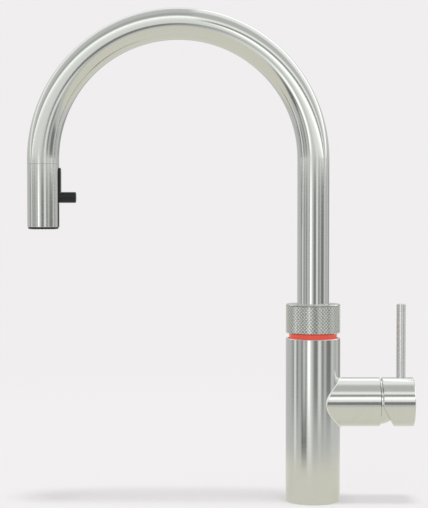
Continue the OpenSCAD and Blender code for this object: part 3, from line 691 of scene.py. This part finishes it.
def selector():
    look = selectorLook
    pegZ = headFoot + look["pegRise"]
    outside, inside = headR + look["tabOut"], look["tabIn"]
    tab = prism(slotOutline(look["tabW"], pegZ, selectorHigh.z), (outside - inside) / 2, "X")
    piece = made("selector", moved(tab, (outside + inside) / 2 - reach))
    softEdges(piece, look["soft"], 3)
    start, radius, rim = look["pivot"] - reach, look["pegR"], look["round"]
    tip = selectorHigh.x - look["pegShort"] - start
    peg = turned([(0, 0), (radius, 0)] + arc((radius - rim, tip - rim), rim, 0, 90, look["roundSteps"])
                 + [(0, tip)], look["pegSteps"])
    carve(piece, alongX(peg, pegZ, start), "UNION")
    half, radius = look["tabW"] / 2, look["barrelR"]
    barrel = turned([(0, -half), (radius, -half), (radius, half), (0, half)], look["barrelSteps"])
    bmesh.ops.rotate(barrel, verts=barrel.verts, cent=(0, 0, 0), matrix=Matrix.Rotation(pi / 2, 3, "X"))
    carve(piece, moved(barrel, start, 0, pegZ), "UNION")
    piece.visible_glossy = False   # a peg mirrored at a grazing angle reads as a hole in the sleeve
    place(piece, "selector", "black_plastic", ["selector_lever"], sharp=35)


insertLow, insertHigh = corners("outlet_insert")
outletLook = {"lipR": 12.5, "lipEdge": 0.5, "bore": 8, "mouthOut": 0.3, "mouthRise": 0.2, "coreGap": 0.05,
              "flatIn": 0.9, "flatDeep": 2, "flatW": 40}
nozzleLook = {"count": 20, "ring": 9.6, "radius": 0.75, "height": 0.2, "bore": 0.35, "root": 0.3,
              "flare": 0.2, "edgeOut": 0.15, "edgeUp": 0.1, "steps": 16}


def outletRing():
    look = outletLook
    low, top, edge = insertLow.z, insertHigh.z, look["lipEdge"]
    bore, lip = look["bore"], look["lipR"]
    core = headR - headLook["wall"] - look["coreGap"]
    profile = [(bore, low + look["mouthRise"]), (bore + look["mouthOut"], low), (lip - edge, low),
               (lip, low + edge), (lip, headFoot), (core, headFoot), (core, top), (bore, top)]
    ring = made("outlet_ring", moved(turned(profile), -reach))
    half, above = look["flatW"] / 2, top + past
    flat = prism([(-half, headFoot), (half, headFoot), (half, above), (-half, above)], look["flatDeep"], "X")
    carve(ring, moved(flat, core + look["flatIn"] - reach))
    place(ring, "spray_head", "spray_silicone", ["outlet_insert"])


def nozzles():
    # soft nubs that a thumb rubs clean
    look = nozzleLook
    bore, radius, rise, root, count = (look[key] for key in ("bore", "radius", "height", "root", "count"))
    bm = turned([(bore, root), (radius + look["flare"], root), (radius, -rise + look["edgeUp"]),
                 (radius - look["edgeOut"], -rise), (bore, -rise)], look["steps"])
    moved(bm, look["ring"])
    bmesh.ops.spin(bm, geom=list(bm.verts) + list(bm.edges) + list(bm.faces), cent=(0, 0, 0), axis=(0, 0, 1),
                   dvec=(0, 0, 0), angle=2 * pi * (1 - 1 / count), steps=count - 1, use_duplicate=True)
    nubs = made("nozzles", moved(bm, -reach, 0, insertLow.z))
    place(nubs, "spray_head", "spray_silicone")


headShell()
selector()
outletRing()
nozzles()
print("head made")


# hose

hoseLow, hoseHigh = corners("hose")
dropLow, dropHigh = corners("hose_end")
hoseR = hoseHigh.x
pull = [joint["range_m"][1] / mm for joint in frame["record"]["behaviour"]["joints"]
        if joint["name"] == "head_pull"][0]
hoseLook = {"wall": 1.6, "around": 32, "bowSteps": 72, "dropRings": 120, "joint": 0.3, "yarnsRound": 29}


def outOf(p):
    # how far a point of the hose lies to the outside of the spout's middle line
    if p.z > bowZ:
        return hypot(p.x + bowR, p.z - bowZ) - bowR
    return p.x if p.x > -bowR else -(p.x + reach)


def braid(piece, along):
    # unrolls the hose for its braid: X runs round it and Y along it, in millimetres
    lap = hoseLook["yarnsRound"] * yarn
    layer = piece.data.uv_layers.new(name="braid")
    for face in piece.data.polygons:
        points = [piece.data.vertices[index].co / mm for index in face.vertices]
        turns = [atan2(p.y, outOf(p)) for p in points]
        if max(turns) - min(turns) > pi:
            turns = [turn + 2 * pi if turn < 0 else turn for turn in turns]
        for index, point, turn in zip(face.loop_indices, points, turns):
            layer.data[index].uv = (turn / (2 * pi) * lap, along(point))


def hoseRun():
    # up the shank and over the bow, inside the spout
    look = hoseLook
    last = pi - asin((dropHigh.z + look["joint"] - bowZ) / bowR)
    bm = bent(hoseR, hoseLow.z, None, look["bowSteps"], look["around"], last)
    run = hollow(made("hose_run", bm), look["wall"])
    braid(run, alongBow)
    place(run, "spout", "hose_sheath", ["hose"])


def hoseDrop():
    # the stretch that the head draws out, built at rest with its rings spaced evenly down the hose
    look = hoseLook
    top, foot, fall = dropHigh.z, dropLow.z, dropHigh.z - dropLow.z
    bm = bmesh.new()
    bmesh.ops.create_circle(bm, segments=look["around"], radius=hoseR)
    moved(bm, -reach, 0, top)
    rim = list(bm.edges)
    for _ in range(look["dropRings"]):
        rim = pushed(bm, rim, (0, 0, -fall / look["dropRings"]))
    tidy(bm)
    drop = hollow(made("hose_drop", bm), look["wall"])

    def drawn(p):
        # the braid's marks run along the hose as if drawn out by the head's full pull, easing in and out
        # between its ends
        share = min(max((top - p.z) / fall, 0), 1)
        return top - p.z + pull * share ** 2 * (3 - 2 * share)

    braid(drop, drawn)
    place(drop, None, "hose_sheath", ["hose_end"])
    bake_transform(drop)


hoseRun()
hoseDrop()
print("hose made")


# shank and fixings under the worktop

shankLow, shankHigh = corners("threaded_shank")
shankLook = {"bore": 14.5, "plainR": 16.5, "plainLow": -28.5, "neckR": 17.1, "neckTop": 1, "crest": 16.4,
             "pitch": 1.5, "threadDepth": 0.9, "rootFlat": 0.05, "crestFlat": 0.45, "rowsPerPitch": 8,
             "around": 96, "lead": 0.8, "shoulder": 0.05, "runOut": 1.2}
nutLook = {"bore": 16.45, "chamferR": 20.4, "chamfer": 30, "lead": 1.0, "edge": 0.3, "steps": 96}
washerHole = 17


def threadedShank():
    # M33 x 1.5 thread: the grid under the collar is pressed in along a helix
    look = shankLook
    start, stop = shankLow.z + look["lead"], look["plainLow"]
    rows = round((stop - start) / look["pitch"] * look["rowsPerPitch"])
    heights = [start + (stop - start) * row / rows for row in range(rows + 1)]
    profile = [(look["bore"], shankLow.z), (look["crest"] - look["threadDepth"], shankLow.z)]
    profile += [(look["crest"], height) for height in heights]
    profile += [(look["plainR"], stop + look["shoulder"]), (look["plainR"], 0), (look["neckR"], 0),
                (look["neckR"], look["neckTop"]), (shankHigh.x, look["neckTop"]), (shankHigh.x, shankHigh.z),
                (look["bore"], shankHigh.z)]
    bm = turned(profile, look["around"])
    rootFlat, crestFlat = look["rootFlat"], look["crestFlat"]
    for vert in bm.verts:
        if abs(vert.co.xy.length - look["crest"]) > skin or not start - skin < vert.co.z < stop + skin:
            continue
        phase = (vert.co.z / look["pitch"] - atan2(vert.co.y, vert.co.x) / (2 * pi)) % 1
        valley = min(max((crestFlat - abs(phase - 0.5)) / (crestFlat - rootFlat), 0), 1)
        fade = min(max((stop - vert.co.z) / look["runOut"], 0), 1)
        vert.co.xy *= 1 - look["threadDepth"] * valley * fade / look["crest"]
    shank = made("shank", bm)
    place(shank, "tap_body", slotOf["threaded_shank"], ["threaded_shank"], sharp=35)


def fixingNut():
    look = nutLook
    low, high = corners("fixing_nut")
    corner, chamferR, steps = high.x, look["chamferR"], look["steps"]
    rise = (corner - chamferR) * tan(radians(look["chamfer"]))
    bm = bmesh.new()
    hexagon = bmesh.ops.create_circle(bm, cap_ends=True, segments=6, radius=corner)["verts"]
    bmesh.ops.rotate(bm, verts=hexagon, cent=(0, 0, 0), matrix=Matrix.Rotation(pi / 2, 3, "Z"))
    bmesh.ops.translate(bm, verts=hexagon, vec=(0, 0, low.z))
    shifted(bm, bmesh.ops.extrude_face_region(bm, geom=list(bm.faces))["geom"], (0, 0, high.z - low.z))
    tidy(bm)
    nut = made("nut", bm)
    carve(nut, turned([(0, low.z), (chamferR, low.z), (corner, low.z + rise), (corner, high.z - rise),
                       (chamferR, high.z), (0, high.z)], steps), "INTERSECT")
    bore, lead = look["bore"], look["lead"]
    carve(nut, turned([(0, low.z - lead), (bore + 2 * lead, low.z - lead), (bore, low.z + lead),
                       (bore, high.z - lead), (bore + 2 * lead, high.z + lead), (0, high.z + lead)], steps))
    softEdges(nut, look["edge"])
    place(nut, "fixing_set", slotOf["fixing_nut"], ["fixing_nut"])


def washer(name, node, edge):
    low, high = corners(node)
    hole, steps = washerHole, 128
    ring = made(name, turned([(hole, low.z), (high.x, low.z), (high.x, high.z), (hole, high.z)], steps))
    softEdges(ring, edge, 3)
    place(ring, "fixing_set", slotOf[node], [node])


threadedShank()
fixingNut()
washer("seal_washer", "rubber_washer", edge=0.6)
washer("steel_washer", "clamp_washer", edge=0.25)
print("shank and fixings made")


# studio

# metres for places and sizes, degrees for the lamp's angles, shares and strengths for the rest
studio = {"pale": "#f0eeef", "warm": "#f0ede1", "sky": 0.55, "sun": 1.5, "sunAngle": 11, "sunTilt": 3.5,
          "tentR": 2.5, "peak": 1.8, "tableTop": (-0.75, -0.6), "lowTop": (-0.31, -0.22),
          "midTop": (0.3, 0.36), "overLever": (0.0, 0.12), "headSide": (-0.22, -0.02), "headShift": 0.53,
          "floorR": 30, "tableFade": (0.15, 0.35), "shadowFade": (0.5, 1.2), "shadowShare": 0.75,
          "leverSide": (0.0, 0.04), "leverShare": 0.4, "mirrorShare": 0.2}
# brightness of the cards round the tap, by bearing in degrees: 0 is the camera, 90 the lever's side
midCards = [(-180, 0.7), (-113, 0.66), (-95, 0.42), (-91, 0.45), (-88, 1.02), (-82, 1.05), (-74, 0.25),
            (-66, 0.6), (-58, 0.62), (-50, 0.25), (-44, 0.8), (-39, 0.8), (-34, 0.48), (-29, 0.55),
            (-24, 1.75), (-17, 1.7), (-13, 1.0), (-3, 0.62), (3, 0.27), (14, 0.26), (21, 1.08),
            (28, 1.03), (35, 0.32), (40, 0.34), (46, 0.66), (52, 0.66), (57, 0.27), (74, 0.24),
            (84, 0.84), (104, 0.58), (122, 0.8), (130, 0.45)]
lowCards = [(-180, 0.7), (-92, 0.7), (-88, 0.98), (-80, 0.98), (-76, 0.7), (-55, 0.66), (-50, 0.2),
            (-32, 0.22), (-28, 0.75), (-16, 1.0), (-10, 0.95), (-4, 0.7), (60, 0.7), (100, 0.78),
            (180, 0.7)]
# brightness overhead, by angle from the camera's side over the top to the back: beside the lever, and
# past the bow
overhead = [(0, 0.75), (8, 1.0), (16, 1.15), (22, 1.7), (28, 1.7), (31, 1.0), (34, 0.35), (39, 0.35),
            (43, 0.9), (47, 1.3), (52, 1.2), (57, 0.78), (64, 0.66), (86, 0.68), (92, 0.85), (99, 1.15),
            (125, 1.2), (129, 1.75), (141, 1.75), (147, 0.8), (180, 0.6)]
overBow = [(0, 0.92), (30, 1.0), (38, 1.15), (45, 1.25), (47, 1.55), (53, 1.55), (57, 0.95), (64, 0.55),
           (72, 0.52), (84, 0.7), (103, 0.72), (117, 0.82), (128, 1.25), (138, 1.2), (147, 0.8),
           (180, 0.6)]


def cards(tree, angle, stops, span):
    # colour ramp over an angle in degrees, as a share of the peak brightness
    share = addNode(tree, "ShaderNodeMapRange", inputs={"Value": angle, "From Min": radians(span[0]),
                                                        "From Max": radians(span[1])}).outputs[0]
    ramp = addNode(tree, "ShaderNodeValToRGB", inputs={"Fac": share})
    points = ramp.color_ramp.elements
    while len(points) < len(stops):
        points.new(0.5)
    for point, (turn, level) in zip(points, stops):
        point.position = (turn - span[0]) / (span[1] - span[0])
    for point, (turn, level) in zip(points, stops):
        point.color = (level / studio["peak"],) * 3 + (1,)
    return ramp.outputs[0]


def tent():
    # what the steel mirrors: a ring of light and dark cards under a soft ceiling; the camera doesn't see it
    bm = bmesh.new()
    bmesh.ops.create_uvsphere(bm, u_segments=96, v_segments=48, radius=studio["tentR"] / mm)
    dome = made("tent", bm)
    material = bpy.data.materials.new("studio_cards")
    material.use_nodes = True
    tree = material.node_tree
    tree.nodes.clear()
    spot = addNode(tree, "ShaderNodeSeparateXYZ",
                   inputs={"Vector": addNode(tree, "ShaderNodeTexCoord").outputs["Object"]}).outputs
    back = addNode(tree, "ShaderNodeSeparateXYZ",
                   inputs={"Vector": addNode(tree, "ShaderNodeNewGeometry").outputs["Incoming"]}).outputs
    front = addNode(tree, "ShaderNodeMath", {"operation": "MULTIPLY"}, {0: spot["Y"], 1: -1.0}).outputs[0]
    # a ray is traced back to where it left the tap, and the cards stand further left for the head's
    slope = addNode(tree, "ShaderNodeMath", {"operation": "DIVIDE"}, {0: back["X"], 1: back["Y"]}).outputs[0]
    run = addNode(tree, "ShaderNodeMath", {"operation": "MULTIPLY"}, {0: slope, 1: front}).outputs[0]
    source = addNode(tree, "ShaderNodeMath", {"operation": "ADD"}, {0: spot["X"], 1: run}).outputs[0]
    start, end = studio["headSide"]
    aside = addNode(tree, "ShaderNodeMapRange", inputs={"Value": source, "From Min": start, "From Max": end,
                                                        "To Min": studio["headShift"],
                                                        "To Max": 0.0}).outputs[0]
    across = addNode(tree, "ShaderNodeMath", {"operation": "ADD"}, {0: spot["X"], 1: aside}).outputs[0]
    bearing = addNode(tree, "ShaderNodeMath", {"operation": "ARCTAN2"}, {0: across, 1: front}).outputs[0]
    rise = addNode(tree, "ShaderNodeMath", {"operation": "ARCTAN2"}, {0: spot["Z"], 1: front}).outputs[0]
    low, mid = (cards(tree, bearing, stops, (-180, 180)) for stops in (lowCards, midCards))
    high, bow = (cards(tree, rise, stops, (0, 180)) for stops in (overhead, overBow))

    def faded(axis, edge, first, second):
        # one layer of cards turns into the next over a stretch of X or Z
        start, end = studio[edge]
        fade = addNode(tree, "ShaderNodeMapRange", inputs={"Value": spot[axis], "From Min": start,
                                                           "From Max": end}).outputs[0]
        mix = addNode(tree, "ShaderNodeMix", {"data_type": "RGBA"}, {"Factor": fade, 6: first, 7: second})
        return mix.outputs[2]

    above = faded("X", "overLever", bow, high)
    colour = tuple(part / studio["peak"] for part in linear(studio["warm"])[:3]) + (1,)
    for edge, layer in (("tableTop", low), ("lowTop", mid), ("midTop", above)):
        colour = faded("Z", edge, colour, layer)
    glow = addNode(tree, "ShaderNodeEmission", inputs={"Color": colour, "Strength": studio["peak"]})
    addNode(tree, "ShaderNodeOutputMaterial", inputs={"Surface": glow.outputs[0]})
    dome.data.materials.append(material)
    dome.visible_camera = False
    dome.visible_diffuse = False
    dome.visible_shadow = False
    dome.visible_transmission = False


def seen(tree):
    # 1 for rays that show the background: the camera's, and those in metal or glass
    path = addNode(tree, "ShaderNodeLightPath").outputs
    first = addNode(tree, "ShaderNodeMath", {"operation": "MAXIMUM"},
                    {0: path["Is Camera Ray"], 1: path["Is Glossy Ray"]}).outputs[0]
    return addNode(tree, "ShaderNodeMath", {"operation": "MAXIMUM"},
                   {0: first, 1: path["Is Transmission Ray"]}).outputs[0]


def floor():
    # pale table: its own colour and the tap's shadow on it; away from the tap it turns to plain background
    bm = bmesh.new()
    bmesh.ops.create_circle(bm, cap_ends=True, segments=96, radius=studio["floorR"] / mm)
    table = made("table", bm)
    material = bpy.data.materials.new("pale_table")
    material.use_nodes = True
    tree = material.node_tree
    tree.nodes.clear()
    spot = addNode(tree, "ShaderNodeTexCoord").outputs["Object"]
    away = addNode(tree, "ShaderNodeVectorMath", {"operation": "LENGTH"}, {0: spot}).outputs["Value"]
    glossy = addNode(tree, "ShaderNodeLightPath").outputs["Is Glossy Ray"]
    lit = addNode(tree, "ShaderNodeBsdfDiffuse", inputs={"Color": linear(studio["pale"])})
    # in the steel the table is warmer, and its shadow fainter
    tone = addNode(tree, "ShaderNodeMix", {"data_type": "RGBA"},
                   {"Factor": glossy, 6: linear(studio["pale"]), 7: linear(studio["warm"])})
    plain = addNode(tree, "ShaderNodeEmission", inputs={"Color": tone.outputs[2]})
    beside = addNode(tree, "ShaderNodeSeparateXYZ", inputs={"Vector": spot}).outputs["X"]
    start, end = studio["leverSide"]
    direct = addNode(tree, "ShaderNodeMapRange", inputs={"Value": beside, "From Min": start, "From Max": end,
                                                         "To Min": studio["shadowShare"],
                                                         "To Max": studio["leverShare"]}).outputs[0]
    faint = addNode(tree, "ShaderNodeMapRange", inputs={"Value": glossy, "To Min": 1.0,
                                                        "To Max": studio["mirrorShare"]}).outputs[0]
    start, end = studio["shadowFade"]
    near = addNode(tree, "ShaderNodeMapRange", inputs={"Value": away, "From Min": start, "From Max": end,
                                                       "To Min": 1.0, "To Max": 0.0}).outputs[0]
    share = addNode(tree, "ShaderNodeMath", {"operation": "MULTIPLY"}, {0: direct, 1: faint}).outputs[0]
    share = addNode(tree, "ShaderNodeMath", {"operation": "MULTIPLY"}, {0: share, 1: near}).outputs[0]
    top = addNode(tree, "ShaderNodeMixShader", inputs={0: share, 1: plain.outputs[0], 2: lit.outputs[0]})
    both = addNode(tree, "ShaderNodeMixShader", inputs={0: seen(tree), 1: lit.outputs[0], 2: top.outputs[0]})
    start, end = studio["tableFade"]
    gone = addNode(tree, "ShaderNodeMapRange", {"interpolation_type": "SMOOTHSTEP"},
                   {"Value": away, "From Min": start, "From Max": end}).outputs[0]
    clear = addNode(tree, "ShaderNodeMath", {"operation": "MULTIPLY"}, {0: gone, 1: glossy}).outputs[0]
    gap = addNode(tree, "ShaderNodeBsdfTransparent")
    last = addNode(tree, "ShaderNodeMixShader", inputs={0: clear, 1: both.outputs[0], 2: gap.outputs[0]})
    addNode(tree, "ShaderNodeOutputMaterial", inputs={"Surface": last.outputs[0]})
    table.data.materials.append(material)


def backdrop():
    # the background's colour, and a plain level of light for everything else
    world = bpy.data.worlds.new("studio")
    world.use_nodes = True
    tree = world.node_tree
    tree.nodes.clear()
    shown = addNode(tree, "ShaderNodeBackground", inputs={"Color": linear(studio["pale"]), "Strength": 1.0})
    light = addNode(tree, "ShaderNodeBackground", inputs={"Color": (1, 1, 1, 1), "Strength": studio["sky"]})
    mix = addNode(tree, "ShaderNodeMixShader", inputs={0: seen(tree), 1: light.outputs[0],
                                                       2: shown.outputs[0]})
    addNode(tree, "ShaderNodeOutputWorld", inputs={"Surface": mix.outputs[0]})
    bpy.context.scene.world = world


def lamp():
    # broad light overhead, which lays the soft strip of shadow under the bow
    data = bpy.data.lights.new("ceiling", "SUN")
    data.energy = studio["sun"]
    data.angle = radians(studio["sunAngle"])
    sun = bpy.data.objects.new("ceiling", data)
    sun.rotation_euler = (radians(studio["sunTilt"]), 0, 0)
    sun.location = (0, 0, 2)
    sun.visible_glossy = False
    bpy.context.collection.objects.link(sun)


tent()
floor()
backdrop()
lamp()
print("studio made")


# camera

view = {"lens": 111.5, "sensor": 36, "x": -0.082, "distance": 1.30, "height": 0.2495, "pitch": 1.97}
lens = bpy.data.cameras.new("camera")
lens.lens = view["lens"]
lens.sensor_fit = "VERTICAL"
lens.sensor_height = view["sensor"]
camera = bpy.data.objects.new("camera", lens)
camera.location = (view["x"], -view["distance"], view["height"])
camera.rotation_euler = (radians(90 - view["pitch"]), 0, 0)
bpy.context.collection.objects.link(camera)
bpy.context.scene.camera = camera
bpy.context.scene.view_settings.view_transform = "Standard"
